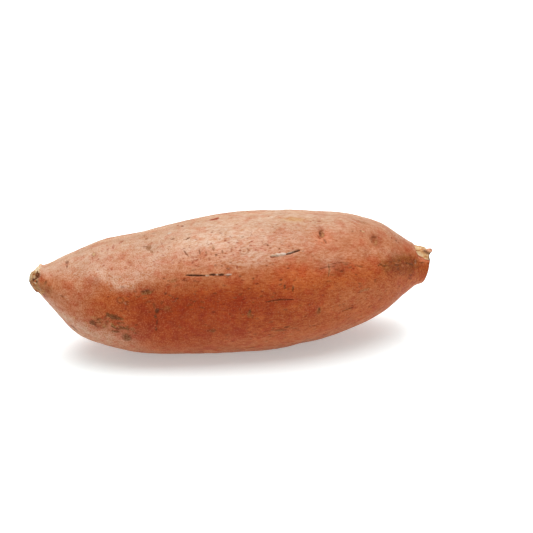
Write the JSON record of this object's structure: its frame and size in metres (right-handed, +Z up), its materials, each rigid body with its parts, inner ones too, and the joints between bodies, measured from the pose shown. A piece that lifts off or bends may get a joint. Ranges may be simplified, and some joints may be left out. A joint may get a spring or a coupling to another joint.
{
  "type": "sweet potato",
  "caption": "Whole raw sweet potato lying on its side: an uneven spindle with eyes and creases, a snapped root stub at one end and a torn neck at the other.",
  "frame": {"origin": "middle of the bounding box seen from above, at the height of the small flat spot that the root lies on", "axes": "+X along the root from the thin root stub to the torn neck, +Y away from the front of the picture, +Z up"},
  "size_m": [0.2006, 0.0724, 0.0678],
  "materials": {
    "skin": "thin matt reddish-tan skin with fine wrinkles, corky scars and a faint sheen on the swells"
  },
  "bodies": {
    "root": {"sweet_potato": "skin"}
  },
  "joints": []
}
